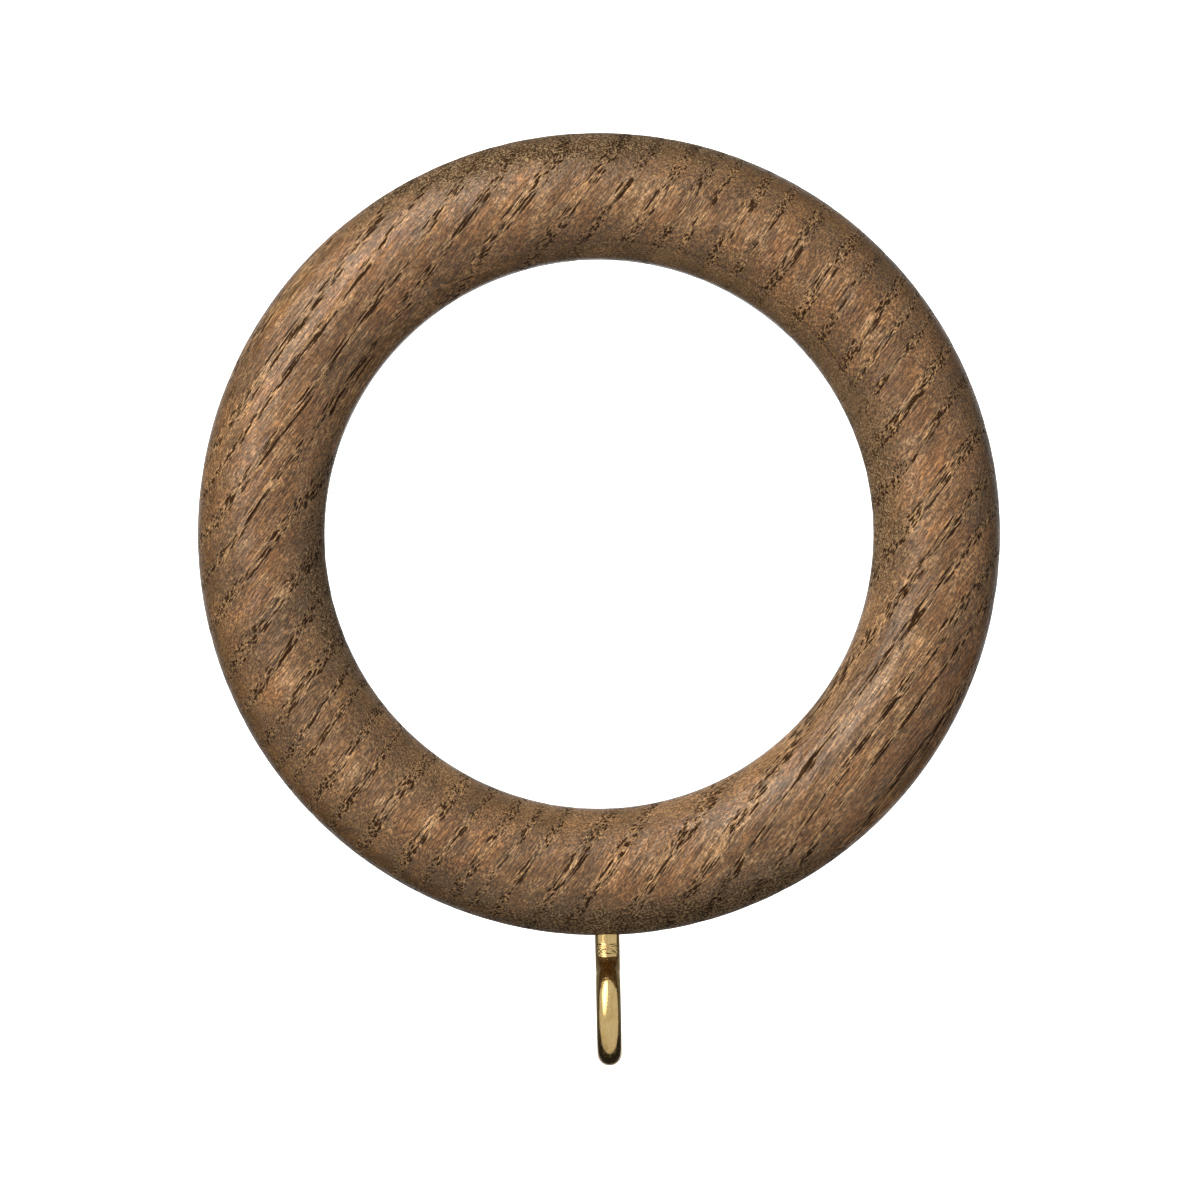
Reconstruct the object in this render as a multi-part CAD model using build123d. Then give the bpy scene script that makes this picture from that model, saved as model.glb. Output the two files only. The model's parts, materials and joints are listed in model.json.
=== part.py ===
from build123d import *

import math
import os

# Curtain ring: a turned wooden ring that runs on a curtain pole, with a bent-wire brass screw eye
# driven into its rim to take the curtain hook.
# Frame: origin at the centre of the ring, Y along the pole, Z up. The eye hangs on -Z.
# All sizes are in millimetres.

# Wooden ring
OUTER_DIAMETER = 92.0
BORE_DIAMETER = 63.0
LAND_WIDTH = 4.0  # flat that the boring tool leaves inside, between the two rounded sides

# Screw eye, bent from one length of round wire
WIRE_DIAMETER = 2.85
EYE_INSIDE_DIAMETER = 6.5
NECK_LENGTH = 1.2  # straight shank that shows below the wood
NECK_INSIDE_RADIUS = 2.5  # bend that carries the wire forward from the shank to the eye
EYE_GAP = 0.6  # between the cut end of the wire and the neck
CUT_END_CHAMFER = 0.25

# Pointed shank, hidden in the wood
WOOD_OVER_HOLE = 3.2  # solid wood left between the end of the hole and the bore
POINT_LENGTH = 2.6
POINT_FLAT_DIAMETER = 0.5
HOLE_CLEARANCE = 0.03  # on the radius, and at the tip

# Ring section: a circle that reaches the rim and is cut flat by the bore
rim_radius = OUTER_DIAMETER / 2
bore_radius = BORE_DIAMETER / 2
wall = rim_radius - bore_radius
section_radius = (wall**2 + (LAND_WIDTH / 2) ** 2) / (2 * wall)
section_centre = rim_radius - section_radius

# Screw eye heights and radii, all in the YZ plane
wire_radius = WIRE_DIAMETER / 2
eye_radius = EYE_INSIDE_DIAMETER / 2 + wire_radius  # to the middle of the wire
neck_radius = NECK_INSIDE_RADIUS + wire_radius  # to the middle of the wire
mouth_z = -rim_radius
neck_z = mouth_z - NECK_LENGTH
centres_apart = neck_radius + eye_radius  # the neck bend and the eye curve opposite ways and touch
eye_z = neck_z - math.sqrt(centres_apart**2 - neck_radius**2)
tip_z = -bore_radius - WOOD_OVER_HOLE - HOLE_CLEARANCE
shoulder_z = tip_z - POINT_LENGTH  # where the point meets the full shank


def turned_ring():
    """The ring as it leaves the lathe, before it is drilled."""
    with BuildPart() as ring:
        with BuildSketch(Plane.XY):
            with Locations((section_centre, 0)):
                Circle(section_radius)
            with Locations((bore_radius, 0)):
                Rectangle(wall, 2 * section_radius, align=(Align.MIN, Align.CENTER), mode=Mode.INTERSECT)
        revolve(axis=Axis.Y)
    return ring.part


def shank_outline(radius, tip_radius, top_z, point_z, bottom_z):
    """A pointed round bar on the Z axis, from bottom_z up to its blunt tip at top_z."""
    with BuildPart() as bar:
        with BuildSketch(Plane.XZ):
            Polygon(
                (0, bottom_z),
                (radius, bottom_z),
                (radius, point_z),
                (tip_radius, top_z),
                (0, top_z),
                align=None,
            )
        revolve(axis=Axis.Z)
    return bar.part


def drilled_ring():
    """The wooden ring with the blind hole that the shank fills."""
    hole = shank_outline(
        wire_radius + HOLE_CLEARANCE,
        POINT_FLAT_DIAMETER / 2 + HOLE_CLEARANCE,
        tip_z + HOLE_CLEARANCE,
        shoulder_z + HOLE_CLEARANCE,
        mouth_z - wire_radius,
    )
    return turned_ring() - hole


def eye_point(angle, radius):
    """A point of the eye in YZ, at an angle in degrees from its top, positive towards the back."""
    turn = math.radians(angle)
    return (0, radius * math.sin(turn), eye_z + radius * math.cos(turn))


def eye_angles():
    """Where the neck runs into the eye, and where the wire ends short of the neck."""
    neck_turn = math.degrees(math.asin(neck_radius / centres_apart))
    corner = eye_radius + wire_radius
    clear_of_neck = neck_radius + wire_radius + EYE_GAP
    end_turn = math.degrees(
        math.acos((corner**2 + centres_apart**2 - clear_of_neck**2) / (2 * corner * centres_apart))
    )
    return -neck_turn, end_turn - neck_turn


def bent_wire():
    """The neck and eye: round wire swept along a bend and most of a circle."""
    start_angle, end_angle = eye_angles()
    bend_turn = 90 + start_angle
    bend_middle = math.radians(bend_turn / 2)
    shank_end = (0, 0, neck_z)
    with BuildPart() as wire:
        with BuildLine() as path:
            Line((0, 0, mouth_z), shank_end)
            ThreePointArc(
                shank_end,
                (
                    0,
                    neck_radius * (math.cos(bend_middle) - 1),
                    neck_z - neck_radius * math.sin(bend_middle),
                ),
                eye_point(start_angle, eye_radius),
            )
            ThreePointArc(
                eye_point(start_angle, eye_radius),
                eye_point(180 + (start_angle + end_angle) / 2, eye_radius),
                eye_point(end_angle, eye_radius),
            )
        with BuildSketch(Plane.XY.offset(mouth_z)):
            Circle(wire_radius)
        sweep(path=path.wires()[0])
        flat_ends = wire.faces().filter_by(GeomType.PLANE)
        cut_end = flat_ends.sort_by_distance(eye_point(end_angle, eye_radius))[0]
        chamfer(cut_end.edges(), CUT_END_CHAMFER)
    return wire.part


def screw_eye():
    """The eye, its neck and the shank that is driven into the wood, as one piece of wire."""
    shank = shank_outline(wire_radius, POINT_FLAT_DIAMETER / 2, tip_z, shoulder_z, mouth_z)
    return bent_wire() + shank


parts = {
    "wood_ring": drilled_ring(),
    "screw_eye": screw_eye(),
}
os.makedirs("parts", exist_ok=True)
for name, part in parts.items():
    part.label = name
    export_step(part, f"parts/{name}.step")
    print(name, round(part.volume, 2), part.bounding_box().size)
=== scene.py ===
import json
import math
from types import SimpleNamespace

import bpy
import numpy as np
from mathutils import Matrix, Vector, noise


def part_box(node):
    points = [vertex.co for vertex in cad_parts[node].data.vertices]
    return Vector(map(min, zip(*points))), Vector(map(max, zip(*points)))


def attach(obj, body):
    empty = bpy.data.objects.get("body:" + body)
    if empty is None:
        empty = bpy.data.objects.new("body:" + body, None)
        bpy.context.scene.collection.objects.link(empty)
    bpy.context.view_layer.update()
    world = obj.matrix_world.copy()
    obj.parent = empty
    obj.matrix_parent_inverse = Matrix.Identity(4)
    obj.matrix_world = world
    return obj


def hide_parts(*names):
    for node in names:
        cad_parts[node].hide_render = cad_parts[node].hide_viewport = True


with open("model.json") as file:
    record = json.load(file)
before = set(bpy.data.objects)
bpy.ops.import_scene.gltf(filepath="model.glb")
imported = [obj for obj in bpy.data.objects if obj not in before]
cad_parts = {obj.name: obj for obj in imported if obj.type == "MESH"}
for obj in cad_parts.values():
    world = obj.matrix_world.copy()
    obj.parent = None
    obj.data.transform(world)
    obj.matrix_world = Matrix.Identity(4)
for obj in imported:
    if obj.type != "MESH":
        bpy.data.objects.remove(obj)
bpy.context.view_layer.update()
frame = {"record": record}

# A turned wooden curtain ring with a bent-wire brass screw eye.
# The frame is the model's own: metres, Y along the pole, Z up, the eye hanging on -Z.
MM = 0.001

# Sizes of the ring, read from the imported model
mounts = {mount["name"]: mount for mount in frame["record"]["mounts"]}
bore_radius = mounts["pole_bore"]["dims"]["r_mm"] * MM
half_land = mounts["pole_bore"]["dims"]["length_mm"] * MM / 2
section_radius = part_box("wood_ring")[1].y
section_centre = bore_radius + math.sqrt(section_radius**2 - half_land**2)
rim_radius = section_centre + section_radius

# Sizes of the screw eye
wire_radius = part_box("screw_eye")[1].x
tip_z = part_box("screw_eye")[1].z
eye_z = mounts["hook_eye"]["pos_m"][2]
EYE_INSIDE_RADIUS = 3.25 * MM
NECK_LENGTH = 1.2 * MM
NECK_INSIDE_RADIUS = 2.5 * MM
EYE_GAP = 0.6 * MM
CUT_END_BEVEL = 0.25 * MM
POINT_LENGTH = 2.6 * MM
POINT_FLAT_RADIUS = 0.25 * MM
HOLE_CLEARANCE = 0.03 * MM
eye_radius = EYE_INSIDE_RADIUS + wire_radius
neck_radius = NECK_INSIDE_RADIUS + wire_radius
mouth_z = -rim_radius
neck_z = mouth_z - NECK_LENGTH
shoulder_z = tip_z - POINT_LENGTH

# Thread on the hidden shank
THREAD_PITCH = 1.25 * MM
THREAD_DEPTH = 0.38 * MM
PLAIN_ENTRY = 1.2 * MM

# Mesh fineness
SECTION_POINTS = 116
LAND_CUTS = 9
RING_STEPS = 720
WIRE_SIDES = 48
NECK_STEPS = 20
EYE_STEPS = 120
CUT_END_STEPS = 3
SHANK_ROWS = 100
POINT_ROWS = 30
MERGE_WITHIN = 0.002 * MM
SAME_PLACE = 0.01 * MM
SMOOTH_BELOW = math.radians(30)

# The fibre lies in the ring's plane, this far clockwise from the top as seen from the front.
FIBRE_CLOCK = math.radians(37.2)
along_fibre = Vector((math.sin(FIBRE_CLOCK), 0, math.cos(FIBRE_CLOCK)))
across_fibre = Vector((-math.cos(FIBRE_CLOCK), 0, math.sin(FIBRE_CLOCK)))

# Each year's growth starts with a row of large pores. Wide and narrow years come in slow and quick swings.
# These sizes are in millimetres across the fibre, and in years.
YEAR_WIDTH = 3.5
SLOW_SWING = 1.1
SLOW_YEARS = 7.3
QUICK_SWING = 0.45
QUICK_YEARS = 2.6
YEARS_EACH_WAY = 13
ROW_REACH = 48.0
pore_rows = [
    YEAR_WIDTH * year
    + SLOW_SWING * math.sin(math.tau * year / SLOW_YEARS)
    + QUICK_SWING * math.sin(math.tau * year / QUICK_YEARS)
    for year in range(-YEARS_EACH_WAY, YEARS_EACH_WAY + 1)
]

# Grooves along the pore rows and slight waves all over. Sizes are along and across the fibre, in millimetres.
GROOVE_WIDTH = 0.45
GROOVE_DEPTH = 0.035 * MM
GROOVE_PATCH_SIZE = (7.0, 1.1)
GROOVE_PATCH_SEED = 3.0
GROOVE_USUAL = 0.55
GROOVE_SPREAD = 0.9
GROOVE_MOST = 1.2
WAVE_SIZE = (30.0, 9.0)
WAVE_SEED = 40.0
WAVE_DEPTH = 0.02 * MM
WAVE_ACROSS_ROWS = 0.5

# The turning tool's line inside the front, by the clock in degrees, and the bore's edge, lightened as rubbed
# wear and as painted light
TOOL_LINE_RADIUS = 33.5 * MM
TOOL_LINE_WIDTH = 0.22 * MM
TOOL_LINE_CORE = 0.05 * MM
TOOL_LINE_DEPTH = 0.03 * MM
TOOL_LINE_HEADING = (0.54, 0, 0.84)
STRONG_LINE_CLOCK = 35
STRONG_LINE_SPREAD = 38
FAINT_LINE_CLOCK = -155
FAINT_LINE_SPREAD = 25
FAINT_LINE_SHARE = 0.35
BURNISH_EDGE = 0.3 * MM
RUBBED_AND_PAINTED_LIGHT_REACH = 3.0 * MM
RUBBED_AND_PAINTED_LIGHT_SHARE = 0.56


# Modelling helpers


def deselect_all():
    if bpy.context.mode != "OBJECT":
        bpy.ops.object.mode_set(mode="OBJECT")
    bpy.ops.object.select_all(action="DESELECT")


def start_circle(name, points, radius, place):
    """A new piece that starts as one open circle lying flat, left in edit mode with all of it selected."""
    deselect_all()
    bpy.ops.mesh.primitive_circle_add(vertices=points, radius=radius, location=place)
    piece = bpy.context.object
    piece.name = name
    piece.data.name = name
    bpy.ops.object.transform_apply(location=True, rotation=True, scale=True)
    bpy.ops.object.mode_set(mode="EDIT")
    bpy.ops.mesh.select_mode(type="VERT")
    bpy.ops.mesh.select_all(action="SELECT")
    return piece


def extrude_down(length):
    bpy.ops.mesh.extrude_region_move(TRANSFORM_OT_translate={"value": (0, 0, -length)})


def widen(factor, height):
    """Widens the selected circle about the Z axis, at its height."""
    bpy.ops.transform.resize(value=(factor, factor, 1), center_override=(0, 0, height))


def select_points(piece, wanted):
    """Selects the points whose place passes the test, in edit mode."""
    bpy.ops.mesh.select_all(action="DESELECT")
    bpy.ops.object.mode_set(mode="OBJECT")
    for point in piece.data.vertices:
        point.select = wanted(point.co)
    bpy.ops.object.mode_set(mode="EDIT")


def select_upright_edges(piece, low, high):
    """Selects the edges that run from one height to another, in edit mode."""
    bpy.ops.mesh.select_mode(type="EDGE")
    bpy.ops.mesh.select_all(action="DESELECT")
    bpy.ops.object.mode_set(mode="OBJECT")
    for edge in piece.data.edges:
        ends = sorted(piece.data.vertices[number].co.z for number in edge.vertices)
        edge.select = abs(ends[0] - low) < SAME_PLACE and abs(ends[1] - high) < SAME_PLACE
    bpy.ops.object.mode_set(mode="EDIT")


def close_up(piece):
    """Merges what meets, turns the faces outwards and leaves edit mode, smooth but for real edges."""
    bpy.ops.mesh.select_all(action="SELECT")
    bpy.ops.mesh.remove_doubles(threshold=MERGE_WITHIN)
    bpy.ops.mesh.normals_make_consistent(inside=False)
    bpy.ops.object.mode_set(mode="OBJECT")
    bpy.ops.object.shade_smooth_by_angle(angle=SMOOTH_BELOW)
    return piece


def points_of(piece, kind="co"):
    """Every point's place, or its normal, as rows of three."""
    values = np.empty(len(piece.data.vertices) * 3)
    piece.data.vertices.foreach_get(kind, values)
    return values.reshape(-1, 3)


def set_points(piece, places):
    piece.data.vertices.foreach_set("co", places.ravel())
    piece.data.update()


def bell(distance, width, power=2):
    """1 in the middle, falling to nothing past the width. A higher power has a flatter top."""
    return np.exp(-((distance / width) ** power))


# The wooden ring


def turned_ring():
    """The section is a circle cut flat by the bore, spun once round the pole's axis."""
    ring = start_circle("turned_wood_ring", SECTION_POINTS, section_radius, (section_centre, 0, 0))
    bpy.ops.mesh.bisect(plane_co=(bore_radius, 0, 0), plane_no=(1, 0, 0), clear_inner=True)
    for step in (-1, 0, 1):
        bpy.ops.mesh.select_all(action="SELECT")
        line = TOOL_LINE_RADIUS + step * TOOL_LINE_WIDTH
        bpy.ops.mesh.bisect(plane_co=(line, 0, 0), plane_no=(1, 0, 0))
    select_points(ring, lambda place: place.x < bore_radius + SAME_PLACE)
    bpy.ops.mesh.edge_face_add()
    bpy.ops.mesh.subdivide(number_cuts=LAND_CUTS)
    bpy.ops.mesh.select_all(action="SELECT")
    bpy.ops.mesh.spin(steps=RING_STEPS // 4, angle=math.tau / 4, center=(0, 0, 0), axis=(0, 1, 0))
    for turn in (math.tau / 4, math.tau / 2):
        bpy.ops.mesh.select_all(action="SELECT")
        bpy.ops.mesh.duplicate()
        bpy.ops.transform.rotate(value=turn, orient_axis="Y", center_override=(0, 0, 0))
    return close_up(ring)


def soft_noise(places, size, seed):
    """Smooth noise from -1 to 1 at each place, with features of this size along and across the fibre."""
    values = []
    for row in places:
        place = Vector(row)
        stretched = Vector((
            place.dot(along_fibre) / (size[0] * MM),
            place.y / (size[1] * MM),
            place.dot(across_fibre) / (size[1] * MM) + seed,
        ))
        values.append(noise.noise(stretched))
    return np.array(values)


def carve_grain(ring):
    """Sinks the open-grained rows a little below the surface and leaves the tool's line inside the front."""
    places = points_of(ring)
    normals = points_of(ring, "normal")
    wavy = soft_noise(places, WAVE_SIZE, WAVE_SEED)

    # Some stretches of a row stay closed
    patchy = GROOVE_USUAL + GROOVE_SPREAD * soft_noise(places, GROOVE_PATCH_SIZE, GROOVE_PATCH_SEED)
    patchy = patchy.clip(0, GROOVE_MOST)
    across = places @ np.array(across_fibre) / MM + WAVE_ACROSS_ROWS * wavy
    from_row = np.abs(across[:, None] - np.array(pore_rows)[None, :]).min(axis=1)
    groove = bell(from_row, GROOVE_WIDTH) * patchy

    around = np.hypot(places[:, 0], places[:, 2])
    clock = np.degrees(np.arctan2(places[:, 0], places[:, 2]))
    front = places[:, 1] < -half_land
    line = bell(around - TOOL_LINE_RADIUS, 0.6 * TOOL_LINE_WIDTH) * front
    strong = bell(clock - STRONG_LINE_CLOCK, STRONG_LINE_SPREAD, power=4)
    strong += FAINT_LINE_SHARE * bell(clock - FAINT_LINE_CLOCK, FAINT_LINE_SPREAD, power=4)

    sink = GROOVE_DEPTH * groove + TOOL_LINE_DEPTH * line * strong + WAVE_DEPTH * wavy
    set_points(ring, places - normals * sink[:, None])


def drill(ring):
    """The blind hole that the shank fills."""
    radius = wire_radius + HOLE_CLEARANCE
    tip_radius = POINT_FLAT_RADIUS + HOLE_CLEARANCE
    bit = start_circle("drill_bit", WIRE_SIDES, tip_radius, (0, 0, tip_z + HOLE_CLEARANCE))
    bpy.ops.mesh.edge_face_add()
    extrude_down(POINT_LENGTH)
    widen(radius / tip_radius, shoulder_z)
    extrude_down(shoulder_z + HOLE_CLEARANCE - mouth_z + wire_radius)
    close_up(bit)
    deselect_all()
    bpy.context.view_layer.objects.active = ring
    hole = ring.modifiers.new("screw hole", "BOOLEAN")
    hole.object = bit
    hole.solver = "EXACT"
    bpy.ops.object.modifier_apply(modifier=hole.name)
    bpy.data.objects.remove(bit)
    ring.data.materials.clear()


# The screw eye


def eye_turns():
    """How far the neck bends forward, and how far the eye then turns before the wire's cut end."""
    centres_apart = neck_radius + eye_radius
    lean = math.asin(neck_radius / centres_apart)
    corner = eye_radius + wire_radius
    clear_of_neck = neck_radius + wire_radius + EYE_GAP
    end_turn = math.acos((corner**2 + centres_apart**2 - clear_of_neck**2) / (2 * corner * centres_apart))
    return math.pi / 2 - lean, math.tau - end_turn


def bent_wire():
    """Point, shank, neck and eye from one round wire, worked from the point down."""
    neck_turn, eye_turn = eye_turns()
    wire = start_circle("brass_screw_eye", WIRE_SIDES, POINT_FLAT_RADIUS, (0, 0, tip_z))
    extrude_down(POINT_LENGTH)
    widen(wire_radius / POINT_FLAT_RADIUS, shoulder_z)
    extrude_down(shoulder_z - mouth_z)
    extrude_down(mouth_z - neck_z)
    bpy.ops.mesh.spin(steps=NECK_STEPS, angle=neck_turn, center=(0, -neck_radius, neck_z), axis=(1, 0, 0))
    bpy.ops.mesh.spin(steps=EYE_STEPS, angle=-eye_turn, center=(0, 0, eye_z), axis=(1, 0, 0))
    bpy.ops.mesh.edge_face_add()
    bpy.ops.mesh.bevel(offset=CUT_END_BEVEL, segments=CUT_END_STEPS, affect="EDGES")
    select_points(wire, lambda place: place.z > tip_z - SAME_PLACE)
    bpy.ops.mesh.edge_face_add()
    for low, high, rows in ((mouth_z, shoulder_z, SHANK_ROWS), (shoulder_z, tip_z, POINT_ROWS)):
        select_upright_edges(wire, low, high)
        bpy.ops.mesh.subdivide(number_cuts=rows)
    return close_up(wire)


def cut_thread(wire):
    """Cuts a round-bottomed groove up the hidden shank and lets it run out at both ends."""
    places = points_of(wire)
    height = places[:, 2] - mouth_z - PLAIN_ENTRY
    length = tip_z - mouth_z - PLAIN_ENTRY
    turn = np.arctan2(places[:, 1], places[:, 0]) / math.tau
    phase = (height / THREAD_PITCH - turn) % 1.0
    # A narrow flat is left at the crest
    groove = np.clip(1.25 * np.sin(math.pi * phase) ** 0.8 - 0.15, 0, 1)
    run_out = np.clip(height / THREAD_PITCH, 0, 1) * np.clip((length - height) / POINT_LENGTH, 0, 1)
    around = np.hypot(places[:, 0], places[:, 1])
    shank = (height > 0) & (around > SAME_PLACE)
    shrink = np.where(shank, 1 - THREAD_DEPTH * groove * run_out / wire_radius, 1.0)
    places[:, :2] *= shrink[:, None]
    set_points(wire, places)


# Node helpers


def give(tree, socket, value):
    """Links a socket to another node's output, or sets it to a plain value."""
    if isinstance(value, bpy.types.NodeSocket):
        tree.links.new(value, socket)
    else:
        socket.default_value = value


def calc(tree, operation, *values):
    made = tree.nodes.new("ShaderNodeMath")
    made.operation = operation
    for socket, value in zip(made.inputs, values):
        give(tree, socket, value)
    return made.outputs["Value"]


def times(tree, first, second):
    return calc(tree, "MULTIPLY", first, second)


def stack(tree, base, value, share):
    """The base with this share of a value added."""
    return calc(tree, "MULTIPLY_ADD", value, share, base)


def vector_calc(tree, operation, *values):
    made = tree.nodes.new("ShaderNodeVectorMath")
    made.operation = operation
    for socket, value in zip(made.inputs, values):
        give(tree, socket, value)
    return made.outputs["Value" if operation in ("DOT_PRODUCT", "LENGTH", "DISTANCE") else "Vector"]


def axis_of(tree, vector, axis):
    split = tree.nodes.new("ShaderNodeSeparateXYZ")
    give(tree, split.inputs["Vector"], vector)
    return split.outputs[axis]


def fade(tree, value, low, high, start=0.0, end=1.0):
    """A smooth step: start below low, end above high."""
    made = tree.nodes.new("ShaderNodeMapRange")
    made.interpolation_type = "SMOOTHSTEP"
    for socket, number in zip(made.inputs, (value, low, high, start, end)):
        give(tree, socket, number)
    return made.outputs["Result"]


def between(tree, mark, start, end):
    """Start where there is no mark, end where the mark is full."""
    return fade(tree, mark, 0, 1, start, end)


def blend(tree, factor, first, second):
    made = tree.nodes.new("ShaderNodeMix")
    made.data_type = "RGBA"
    give(tree, made.inputs["Factor"], factor)
    give(tree, made.inputs[6], first)
    give(tree, made.inputs[7], second)
    return made.outputs[2]


def cover(tree, colour, mark, share, paint):
    """Lays a paint over a colour where the mark is, at most to this share."""
    return blend(tree, times(tree, mark, share), colour, paint)


def brighten(tree, colour, factor):
    made = tree.nodes.new("ShaderNodeVectorMath")
    made.operation = "SCALE"
    give(tree, made.inputs["Vector"], colour)
    give(tree, made.inputs["Scale"], factor)
    return made.outputs["Vector"]


def cloud(tree, vector, sizes, detail=1.0, roughness=0.6, curl=0.0, output="Fac"):
    """Soft noise with features of these sizes on the vector's three axes."""
    made = tree.nodes.new("ShaderNodeTexNoise")
    give(tree, made.inputs["Vector"], vector_calc(tree, "DIVIDE", vector, sizes))
    made.inputs["Scale"].default_value = 1.0
    made.inputs["Detail"].default_value = detail
    made.inputs["Roughness"].default_value = roughness
    made.inputs["Distortion"].default_value = curl
    return made.outputs[output]


def patches(tree, vector, sizes, low, high, **grain):
    """A cloud sharpened into patches: 0 where it is below low, 1 where it is above high."""
    return fade(tree, cloud(tree, vector, sizes, **grain), low, high)


def millimetres(tree, place, turn=0.0):
    """A place in millimetres, turned about the pole's axis."""
    made = tree.nodes.new("ShaderNodeMapping")
    made.vector_type = "TEXTURE"
    made.inputs["Rotation"].default_value = (0, turn, 0)
    made.inputs["Scale"].default_value = (MM, MM, MM)
    give(tree, made.inputs["Vector"], place)
    return made.outputs["Vector"]


def relief(tree, height):
    """The shading of a height given in millimetres."""
    made = tree.nodes.new("ShaderNodeBump")
    made.inputs["Strength"].default_value = 1.0
    made.inputs["Distance"].default_value = MM
    give(tree, made.inputs["Height"], height)
    return made.outputs["Normal"]


def new_material(name):
    material = bpy.data.materials.new(name)
    material.use_nodes = True
    tree = material.node_tree
    return material, tree, tree.nodes["Principled BSDF"]


# The wood's finish. Sizes are in millimetres along the fibre, through the depth and across the fibre.

LATEWOOD = (0.200, 0.098, 0.035, 1)
RUDDY = (0.262, 0.117, 0.038, 1)
EARLYWOOD = (0.41, 0.23, 0.094, 1)
# Painted sheen: a pale highlight colour laid into the wood on patches of long grain
PAINTED_SHEEN = (0.50, 0.31, 0.15, 1)
END_GRAIN = (0.132, 0.079, 0.030, 1)
TORN_DARK = (0.048, 0.026, 0.009, 1)
TORN_LIGHT = (0.48, 0.31, 0.16, 1)
SMUDGE = (0.098, 0.055, 0.022, 1)
BURNISHED = (0.125, 0.082, 0.045, 1)
# Lighter colour at the bore's edge: rubbed wear, made lighter still as painted light on the shaded inner edge
RUBBED_AND_PAINTED_LIGHT = (0.33, 0.195, 0.095, 1)
PORE = (0.026, 0.009, 0.002, 1)
LACQUER_WEIGHT = 0.9
LACQUER_ROUGHNESS = 0.26
WOOD_ROUGHNESS = 0.42
WOOD_SPECULAR = 0.08


def sway(tree, straight, sizes, reach):
    """A shift to the sides of the fibre, up to half of reach each way."""
    shift = cloud(tree, straight, sizes, roughness=0.5, output="Color")
    shift = vector_calc(tree, "SUBTRACT", shift, (0.5, 0.5, 0.5))
    return vector_calc(tree, "MULTIPLY", shift, (0, reach, reach))


def wandering(tree, straight):
    """The fibre wanders a little from the straight."""
    wander = sway(tree, straight, (28, 10, 10), reach=1.6)
    ripple = sway(tree, straight, (4, 1.2, 1.2), reach=0.2)
    return vector_calc(tree, "ADD", straight, vector_calc(tree, "ADD", wander, ripple))


def growth_phase(tree, across):
    """How far a place is through its year's growth, 0 to 1 from a row of large pores, and which year."""
    curve = tree.nodes.new("ShaderNodeFloatCurve")
    points = curve.mapping.curves[0].points
    steps = len(pore_rows) + 1
    for number, row in enumerate(pore_rows, start=1):
        points.new((row + ROW_REACH) / (2 * ROW_REACH), number / steps)
    for point in points:
        point.handle_type = "VECTOR"
    curve.mapping.update()
    share = calc(tree, "DIVIDE", calc(tree, "ADD", across, ROW_REACH), 2 * ROW_REACH)
    give(tree, curve.inputs["Value"], share)
    years = times(tree, curve.outputs["Value"], float(steps))
    return calc(tree, "FRACT", years), calc(tree, "FLOOR", years)


def pores(tree, fibre, spacing, length, radius, until, late_radius=0.0):
    """Open pores as long thin hollows along the fibre: full size early in each year, late_radius after that.

    Gives how deep a place lies inside the nearest pore, in millimetres, negative outside it.
    """
    sizes = (length, spacing, spacing)
    cells = tree.nodes.new("ShaderNodeTexVoronoi")
    cells.inputs["Scale"].default_value = 1.0
    give(tree, cells.inputs["Vector"], vector_calc(tree, "DIVIDE", fibre, sizes))
    middle = vector_calc(tree, "MULTIPLY", cells.outputs["Position"], sizes)
    phase = growth_phase(tree, axis_of(tree, middle, "Z"))[0]
    chance = axis_of(tree, cells.outputs["Color"], "X")
    size = fade(tree, phase, until, until + 0.08, radius, late_radius)
    size = times(tree, size, fade(tree, chance, 0.05, 0.95, 0.5, 1.2))
    return calc(tree, "SUBTRACT", size, times(tree, cells.outputs["Distance"], spacing))


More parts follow.
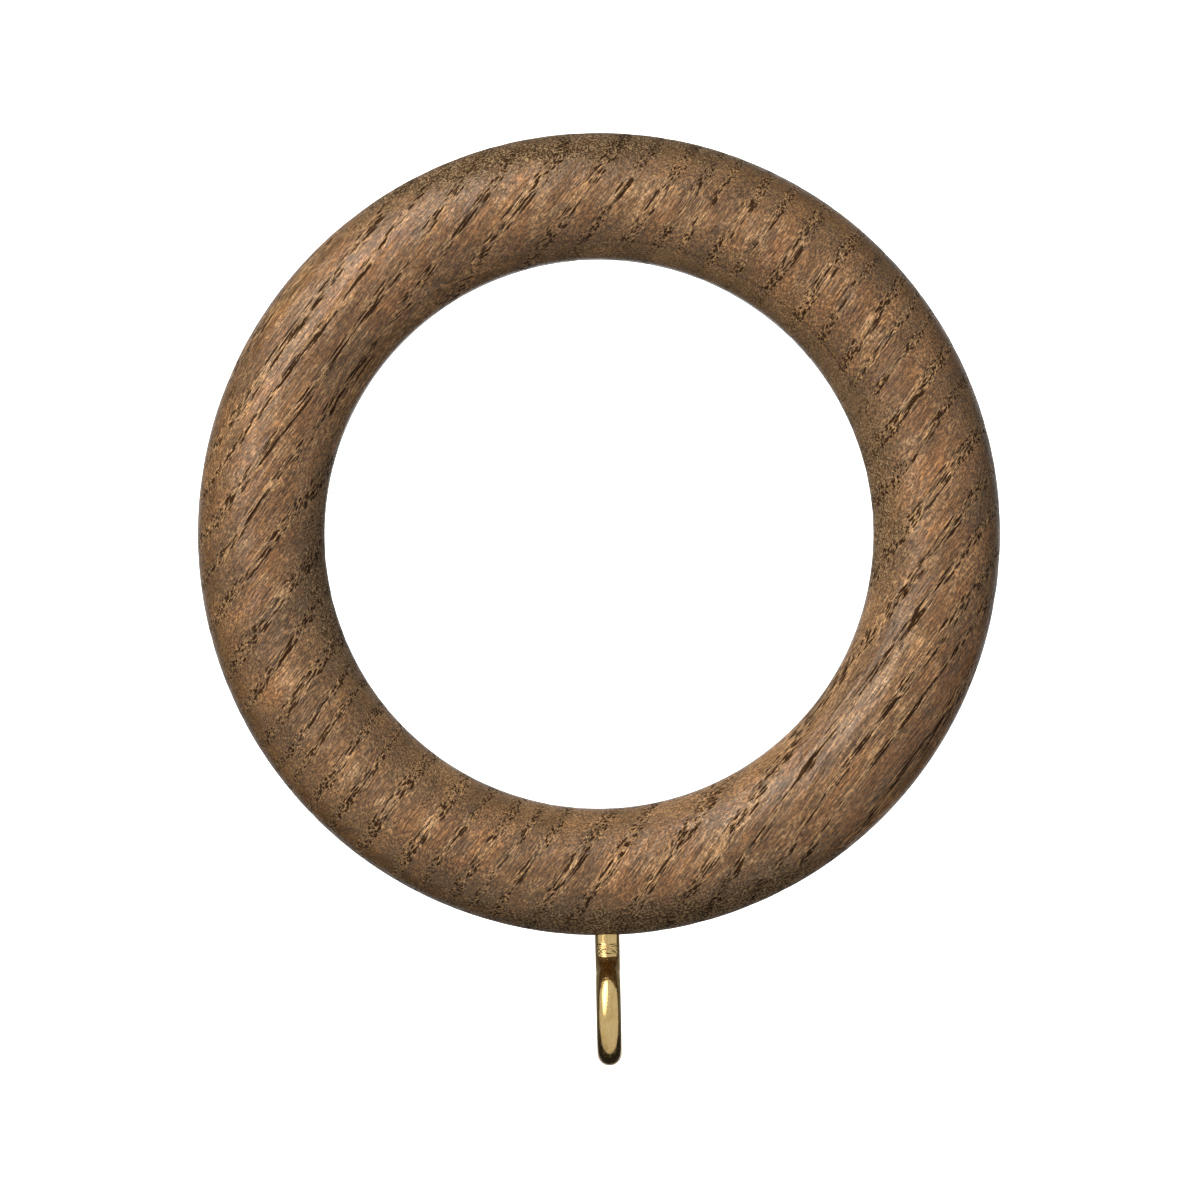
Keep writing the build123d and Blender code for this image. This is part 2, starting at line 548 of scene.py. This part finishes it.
def grown_marks(tree, straight, fibre):
    """What grew in the wood: its years, its pores, and streaks and patches of many sizes."""
    grown = SimpleNamespace()
    phase, year = growth_phase(tree, axis_of(tree, fibre, "Z"))
    season = tree.nodes.new("ShaderNodeTexWhiteNoise")
    season.noise_dimensions = "1D"
    give(tree, season.inputs["W"], year)
    grown.season = season.outputs["Value"]
    grown.early = fade(tree, phase, 0.26, 0.38, 1, 0)

    # Large pores have ragged edges, and pale walls round them
    wide_pores = pores(tree, fibre, spacing=0.44, length=7.0, radius=0.140, until=0.14)
    row_pores = pores(tree, fibre, spacing=0.26, length=5.0, radius=0.112, until=0.28)
    ragged = calc(tree, "SUBTRACT", cloud(tree, fibre, (0.8, 0.13, 0.13)), 0.5)
    deepest = stack(tree, calc(tree, "MAXIMUM", wide_pores, row_pores), ragged, 0.18)
    grown.holes = fade(tree, deepest, -0.008, 0.006)
    grown.hollows = fade(tree, deepest, -0.06, 0.025)
    grown.walls = times(tree, fade(tree, deepest, -0.10, -0.03), grown.early)
    fine = pores(tree, fibre, spacing=0.26, length=5.5, radius=0.078, until=0.34, late_radius=0.058)
    grown.fine_pores = fade(tree, fine, -0.012, 0.016)

    grown.streak = patches(tree, fibre, (5.0, 0.17, 0.17), 0.40, 0.60)
    grown.stipple = patches(tree, fibre, (0.55, 0.18, 0.18), 0.43, 0.57, curl=0.9)
    grown.chips = patches(tree, fibre, (0.30, 0.19, 0.19), 0.47, 0.60, roughness=0.7)
    grown.furrow = cloud(tree, fibre, (7.0, 1.0, 1.0), detail=2.0)
    # The fleck and patch clouds place the painted sheen
    grown.fleck = patches(tree, straight, (0.24, 0.2, 1.0), 0.35, 0.65)
    grown.smudge = patches(tree, straight, (4.0, 2.2, 2.2), 0.54, 0.70, detail=2.0)
    grown.mottle = patches(tree, straight, (9.0, 3.5, 3.5), 0.3, 0.7, detail=2.0, roughness=0.55)
    grown.patch = patches(tree, straight, (4.0, 1.3, 1.6), 0.42, 0.66, detail=2.0, roughness=0.65)
    grown.ruddy = patches(tree, straight, (14.0, 5.0, 5.0), 0.38, 0.64, detail=2.0, roughness=0.5)
    return grown


def turned_marks(tree, place, normal, straight):
    """What turning left: fibre ends, torn where the tool cut against them, its line and a burnished strip.
    Also a lighter bore edge, partly rubbed wear and partly painted light.
    """
    turned = SimpleNamespace()
    lean = vector_calc(tree, "DOT_PRODUCT", normal, tuple(along_fibre))
    side = calc(tree, "DIVIDE", axis_of(tree, straight, "Z"), section_centre / MM)
    uneven = cloud(tree, straight, (2.4, 1.0, 1.0), detail=2.0)
    against = stack(tree, times(tree, lean, side), uneven, 0.45)
    turned.torn = fade(tree, against, 0.39, 0.64)
    turned.end_grain = fade(tree, calc(tree, "ABSOLUTE", lean), 0.1, 0.75)
    turned.long_grain = calc(tree, "SUBTRACT", 1.0, turned.end_grain)

    out_from_pole = vector_calc(tree, "MULTIPLY", place, (1, 0, 1))
    around = vector_calc(tree, "LENGTH", out_from_pole)
    outward = vector_calc(tree, "NORMALIZE", out_from_pole)
    heading = vector_calc(tree, "DOT_PRODUCT", outward, TOOL_LINE_HEADING)
    front = fade(tree, axis_of(tree, place, "Y"), -half_land, 0.0, 1.0, 0.0)
    worked = times(tree, fade(tree, heading, 0.62, 0.9), front)
    from_line = calc(tree, "ABSOLUTE", calc(tree, "SUBTRACT", around, TOOL_LINE_RADIUS))
    turned.line = times(tree, fade(tree, from_line, TOOL_LINE_CORE, TOOL_LINE_WIDTH, 1.0, 0.0), worked)
    inside_line = fade(tree, around, TOOL_LINE_RADIUS, TOOL_LINE_RADIUS - BURNISH_EDGE)
    turned.burnish = times(tree, inside_line, worked)
    turned.raw = stack(tree, 1.0, turned.burnish, -0.4)
    # Lighter near the bore: partly rubbed wear, partly painted light
    turned.rubbed = fade(tree, around, bore_radius, bore_radius + RUBBED_AND_PAINTED_LIGHT_REACH, RUBBED_AND_PAINTED_LIGHT_SHARE, 0.0)
    return turned


def stain_colour(tree, grown, turned):
    """The stained wood's colour, built up layer by layer, with a painted sheen and painted light at the
    bore's edge.
    """
    colour = blend(tree, grown.ruddy, LATEWOOD, RUDDY)
    tan = times(tree, grown.early, fade(tree, grown.streak, 0.2, 0.8))
    colour = cover(tree, colour, tan, 0.4, EARLYWOOD)
    # Painted sheen: pale highlight patches on long grain, laid into the colour
    painted_sheen_flecks = times(tree, turned.long_grain, between(tree, grown.fleck, 0.1, 0.5))
    colour = blend(tree, times(tree, grown.patch, painted_sheen_flecks), colour, PAINTED_SHEEN)
    colour = cover(tree, colour, grown.smudge, 0.4, SMUDGE)
    colour = cover(tree, colour, turned.end_grain, 0.5, END_GRAIN)
    # The bore's edge is lightened: partly rubbed wear, partly painted light
    colour = blend(tree, turned.rubbed, colour, RUBBED_AND_PAINTED_LIGHT)
    colour = cover(tree, colour, grown.walls, 0.6, EARLYWOOD)

    light = between(tree, grown.mottle, 0.82, 1.12)
    light = times(tree, light, between(tree, grown.season, 0.91, 1.09))
    light = times(tree, light, between(tree, grown.streak, 0.68, 1.29))
    light = times(tree, light, between(tree, grown.stipple, 0.62, 1.35))
    colour = brighten(tree, colour, light)

    colour = cover(tree, colour, grown.fine_pores, 0.75, PORE)
    torn_colour = blend(tree, grown.chips, TORN_DARK, TORN_LIGHT)
    colour = cover(tree, colour, turned.torn, 0.85, torn_colour)
    colour = cover(tree, colour, turned.burnish, 0.25, BURNISHED)
    colour = cover(tree, colour, times(tree, grown.holes, turned.raw), 0.95, PORE)
    return blend(tree, times(tree, turned.line, between(tree, grown.stipple, 0.55, 0.1)), colour, PORE)


def wood_relief(tree, grown, turned):
    """The bare wood's relief."""
    height = times(tree, grown.hollows, -0.13)
    height = stack(tree, height, grown.fine_pores, -0.02)
    height = stack(tree, height, grown.streak, 0.04)
    height = stack(tree, height, grown.stipple, 0.07)
    height = stack(tree, height, times(tree, grown.chips, turned.torn), 0.2)
    return relief(tree, times(tree, height, turned.raw))


def lacquer_relief(tree, grown):
    """The lacquer's relief: it levels the finest marks and keeps the furrows."""
    height = times(tree, grown.hollows, -0.06)
    height = stack(tree, height, grown.furrow, 0.25)
    height = stack(tree, height, grown.streak, 0.006)
    height = stack(tree, height, grown.stipple, 0.008)
    return relief(tree, height)


def stained_wood():
    """Open-grained wood under walnut stain and satin lacquer, cut from one straight-grained board."""
    material, tree, surface = new_material("stained_wood")
    place = tree.nodes.new("ShaderNodeTexCoord")
    straight = millimetres(tree, place.outputs["Object"], turn=FIBRE_CLOCK - math.pi / 2)
    grown = grown_marks(tree, straight, wandering(tree, straight))
    turned = turned_marks(tree, place.outputs["Object"], place.outputs["Normal"], straight)

    give(tree, surface.inputs["Base Color"], stain_colour(tree, grown, turned))
    rough = stack(tree, WOOD_ROUGHNESS, turned.torn, 0.15)
    give(tree, surface.inputs["Roughness"], stack(tree, rough, grown.holes, 0.3))
    surface.inputs["Specular IOR Level"].default_value = WOOD_SPECULAR
    give(tree, surface.inputs["Normal"], wood_relief(tree, grown, turned))

    bare = calc(tree, "MAXIMUM", grown.holes, times(tree, turned.torn, 0.7))
    give(tree, surface.inputs["Coat Weight"], between(tree, bare, LACQUER_WEIGHT, 0.0))
    surface.inputs["Coat Roughness"].default_value = LACQUER_ROUGHNESS
    give(tree, surface.inputs["Coat Normal"], lacquer_relief(tree, grown))
    return material


# The brass's finish. Sizes are in millimetres on X, Y and Z.

BRASS = (0.94, 0.68, 0.30, 1)
DULL_BRASS = (0.80, 0.53, 0.20, 1)
DRAWN_LINES = (0.55, 0.36, 0.13, 1)
SCUFF_LENGTH = 1.2
CREASE_WIDTH = 0.14


def crease(tree, height, level):
    """A thin fold round the wire at a level."""
    from_level = calc(tree, "ABSOLUTE", calc(tree, "SUBTRACT", height, level))
    return fade(tree, from_level, 0.0, CREASE_WIDTH, 1.0, 0.0)


def pinched_neck(tree, place):
    """Where the tool gripped the wire to bend the neck, and the dents and creases that it left there."""
    neck = neck_z / MM
    height = axis_of(tree, place, "Z")
    above_end = fade(tree, height, neck - SCUFF_LENGTH, neck - 0.7 * SCUFF_LENGTH)
    below_start = fade(tree, height, neck, neck + 0.3 * SCUFF_LENGTH, 1, 0)
    scuff = times(tree, above_end, below_start)

    dents = cloud(tree, place, (0.7, 0.7, 0.36), detail=2.0)
    sideways = axis_of(tree, place, "X")
    wavy = stack(tree, height, dents, 0.4)
    bowed = stack(tree, wavy, times(tree, sideways, sideways), 0.6)
    folds = crease(tree, wavy, neck + 0.27)
    folds = calc(tree, "ADD", folds, crease(tree, bowed, neck + 0.05))
    folds = calc(tree, "ADD", folds, crease(tree, bowed, neck - 0.5))
    return scuff, stack(tree, times(tree, dents, 0.16), folds, -0.035)


def polished_brass():
    """Bright drawn brass under a thin lacquer, scuffed where the tool gripped it to bend the neck."""
    material, tree, surface = new_material("polished_brass")
    place = millimetres(tree, tree.nodes.new("ShaderNodeTexCoord").outputs["Object"])
    tarnish = cloud(tree, place, (1.8, 1.8, 1.8), detail=4.0)
    pits = patches(tree, place, (0.24, 0.24, 0.24), 0.34, 0.46)
    drawn = patches(tree, place, (0.16, 0.9, 2.6), 0.3, 0.7, detail=2.0)
    scuff, pinch = pinched_neck(tree, place)

    colour = blend(tree, fade(tree, tarnish, 0.42, 0.75), BRASS, DULL_BRASS)
    colour = blend(tree, fade(tree, drawn, 0.0, 0.5, 0.35, 0.0), colour, DRAWN_LINES)
    give(tree, surface.inputs["Base Color"], colour)
    surface.inputs["Metallic"].default_value = 1.0
    rough = fade(tree, tarnish, 0.3, 0.8, 0.10, 0.18)
    give(tree, surface.inputs["Roughness"], stack(tree, rough, scuff, 0.08))
    height = stack(tree, times(tree, drawn, 0.003), pits, 0.006)
    give(tree, surface.inputs["Normal"], relief(tree, stack(tree, height, pinch, scuff)))
    return material


# Studio

FLOOR_Z = -0.1
FLOOR_SIZE = 0.6
FLOOR_PALE_RADIUS = 0.12
FLOOR_WHITE_RADIUS = 0.28
FLOOR_COLOUR = (0.8, 0.8, 0.8, 1)
WHITE = (1, 1, 1, 1)
CAMERA_DISTANCE = 0.9
VIEW_WIDTH = 137.57 * MM
VIEW_CENTRE = (-0.04 * MM, -7.56 * MM)
CAMERA_ROLL = math.radians(1.17)
SENSOR = 36.0
PANEL_SIZE = (1.0, 2.2)
KEY_PLACE = (-0.52, -0.6, 0.61)
KEY_POWER = 62.0
SHINE_PLACE = (-0.48, -0.56, 0.56)
SHINE_POWER = 34.0
SHINE_TINT = (1.0, 0.92, 0.82)
FRONT_LIGHT = 0.60
SIDE_LIGHT = 0.28
BACK_LIGHT = 1.8
MIRRORED_FRONT = 0.58
MIRRORED_SIDE = 0.02
MIRRORED_BACKDROP = 0.13
MIRRORED_BACK = 0.6


def pale_floor():
    """A matt floor that keeps the shadow under the object and runs out to white. It is clear from below."""
    material, tree, surface = new_material("pale_floor")
    surface.inputs["Base Color"].default_value = FLOOR_COLOUR
    surface.inputs["Roughness"].default_value = 0.9
    surface.inputs["Specular IOR Level"].default_value = 0.1
    surface.inputs["Emission Color"].default_value = WHITE
    place = tree.nodes.new("ShaderNodeTexCoord").outputs["Object"]
    far = vector_calc(tree, "DISTANCE", place, (0.0, 0.0, FLOOR_Z))
    glow = fade(tree, far, FLOOR_PALE_RADIUS, FLOOR_WHITE_RADIUS)
    seen = tree.nodes.new("ShaderNodeLightPath").outputs["Is Camera Ray"]
    give(tree, surface.inputs["Emission Strength"], times(tree, glow, seen))
    from_below = tree.nodes.new("ShaderNodeNewGeometry").outputs["Backfacing"]
    give(tree, surface.inputs["Alpha"], calc(tree, "SUBTRACT", 1.0, from_below))

    deselect_all()
    bpy.ops.mesh.primitive_plane_add(size=FLOOR_SIZE, location=(0, 0, FLOOR_Z))
    floor = bpy.context.object
    floor.name = "floor"
    bpy.ops.object.transform_apply(location=True, rotation=True, scale=True)
    floor.data.materials.append(material)
    floor.visible_diffuse = False
    floor.visible_glossy = False


def softbox(name, place, power):
    """A lamp panel aimed at the ring, brightest in its middle and fading to nothing at its edges."""
    lamp = bpy.data.lights.new(name, "AREA")
    lamp.shape = "RECTANGLE"
    lamp.size, lamp.size_y = PANEL_SIZE
    lamp.energy = power
    lamp.use_nodes = True
    tree = lamp.node_tree
    across = tree.nodes.new("ShaderNodeNewGeometry").outputs["Parametric"]
    from_middle = vector_calc(tree, "DISTANCE", across, (0.5, 0.5, 0.0))
    give(tree, tree.nodes["Emission"].inputs["Strength"], fade(tree, from_middle, 0.0, 0.5, 1.0, 0.0))
    box = bpy.data.objects.new(name, lamp)
    bpy.context.scene.collection.objects.link(box)
    box.location = place
    box.rotation_euler = (-Vector(place)).to_track_quat("-Z", "Y").to_euler()
    box.visible_camera = False
    return box


def lamps():
    """The key panel lights the object, and a warmer panel just before it makes the shine."""
    key = softbox("key", KEY_PLACE, KEY_POWER)
    key.visible_glossy = False
    shine = softbox("key_shine", SHINE_PLACE, SHINE_POWER)
    shine.data.color = SHINE_TINT
    shine.visible_diffuse = False


def studio_world():
    """White to the camera. The object is lit from the front half, with a white backdrop behind it."""
    world = bpy.data.worlds.new("studio")
    bpy.context.scene.world = world
    world.use_nodes = True
    tree = world.node_tree
    background = tree.nodes["Background"]
    direction = tree.nodes.new("ShaderNodeTexCoord").outputs["Generated"]
    back = axis_of(tree, direction, "Y")
    up = axis_of(tree, direction, "Z")
    lit = fade(tree, back, -0.1, 0.15, FRONT_LIGHT, SIDE_LIGHT)
    lit = calc(tree, "ADD", lit, fade(tree, back, 0.75, 0.95, 0.0, BACK_LIGHT))
    mirrored = times(tree, fade(tree, back, 0.25, 0.6, 0.0, MIRRORED_BACKDROP), fade(tree, up, -0.4, 0.0))
    mirrored = calc(tree, "ADD", mirrored, fade(tree, back, 0.06, 0.2, MIRRORED_FRONT, MIRRORED_SIDE))
    mirrored = calc(tree, "ADD", mirrored, fade(tree, back, 0.86, 0.94, 0.0, MIRRORED_BACK))
    seen = tree.nodes.new("ShaderNodeLightPath")
    choice = tree.nodes.new("ShaderNodeMix")
    give(tree, choice.inputs["Factor"], seen.outputs["Is Glossy Ray"])
    give(tree, choice.inputs["A"], lit)
    give(tree, choice.inputs["B"], mirrored)
    level = calc(tree, "MAXIMUM", choice.outputs["Result"], seen.outputs["Is Camera Ray"])
    level = calc(tree, "MAXIMUM", level, seen.outputs["Is Transmission Ray"])
    background.inputs["Color"].default_value = WHITE
    give(tree, background.inputs["Strength"], level)


def camera():
    lens = bpy.data.cameras.new("camera")
    lens.sensor_width = SENSOR
    lens.lens = SENSOR * CAMERA_DISTANCE / VIEW_WIDTH
    stand = bpy.data.objects.new("camera", lens)
    bpy.context.scene.collection.objects.link(stand)
    stand.location = (VIEW_CENTRE[0], -CAMERA_DISTANCE, VIEW_CENTRE[1])
    stand.rotation_euler = (math.pi / 2, CAMERA_ROLL, 0)
    bpy.context.scene.camera = stand


# Assembly

ring = turned_ring()
carve_grain(ring)
drill(ring)
ring.data.materials.append(stained_wood())
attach(ring, "root")
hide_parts("wood_ring")

wire = bent_wire()
cut_thread(wire)
wire.data.materials.append(polished_brass())
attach(wire, "root")
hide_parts("screw_eye")

pale_floor()
studio_world()
lamps()
camera()
bpy.context.scene.view_settings.view_transform = "Standard"
